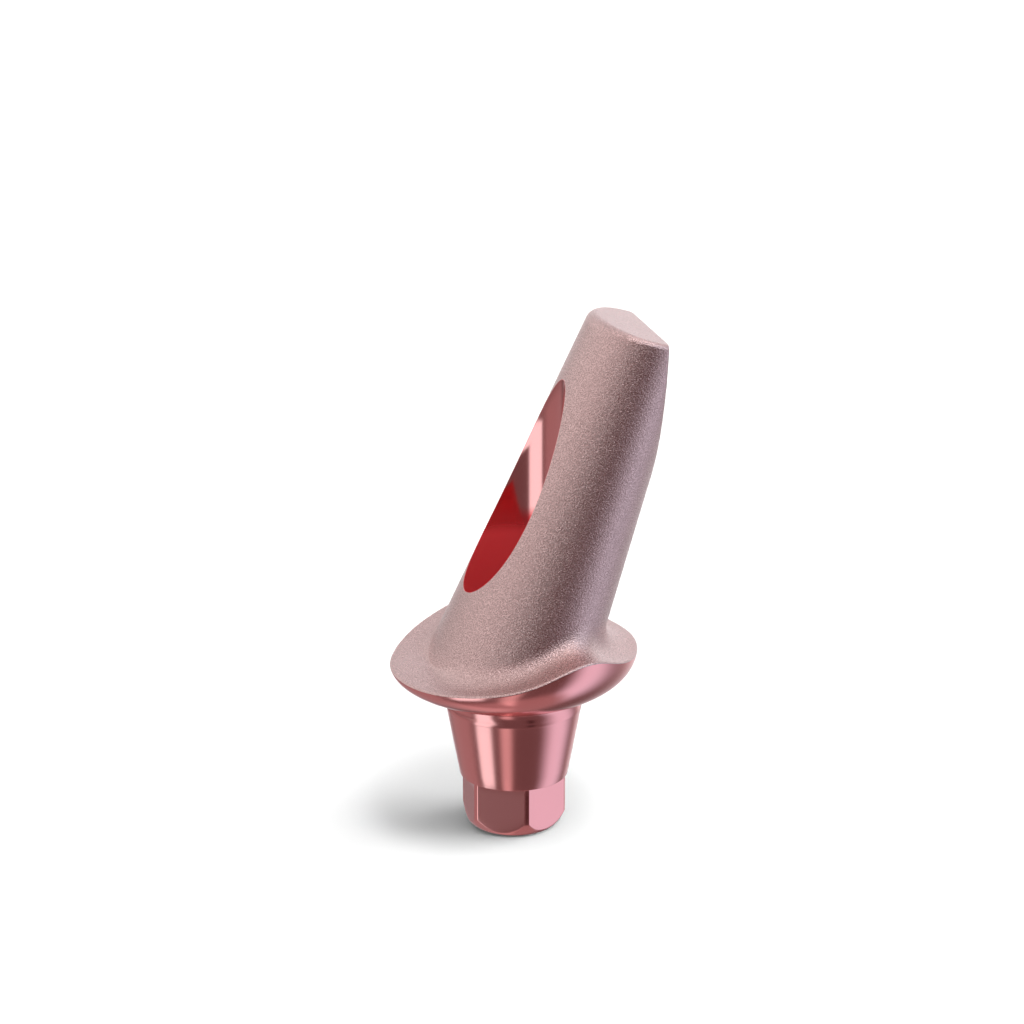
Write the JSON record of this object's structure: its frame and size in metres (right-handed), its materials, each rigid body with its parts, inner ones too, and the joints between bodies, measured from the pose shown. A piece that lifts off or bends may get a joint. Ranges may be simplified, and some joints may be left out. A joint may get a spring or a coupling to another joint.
{
  "type": "dental abutment",
  "caption": "Angled titanium implant abutment with a hexagonal end, sealing cone, scalloped margin, leaning post and straight screw channel.",
  "frame": {"origin": "centre of the sealing cone's wide end, on the implant's axis", "axes": "+Z along the implant's axis towards the crown, +X the way the post leans, Y = 0 is the mirror plane"},
  "size_m": [0.0057, 0.0062, 0.0115],
  "materials": {
    "anodised_titanium": "pink anodised titanium alloy, polished below the margin and in the channel, grit-blasted matte above the margin"
  },
  "bodies": {
    "root": {"abutment": "anodised_titanium"}
  },
  "joints": []
}
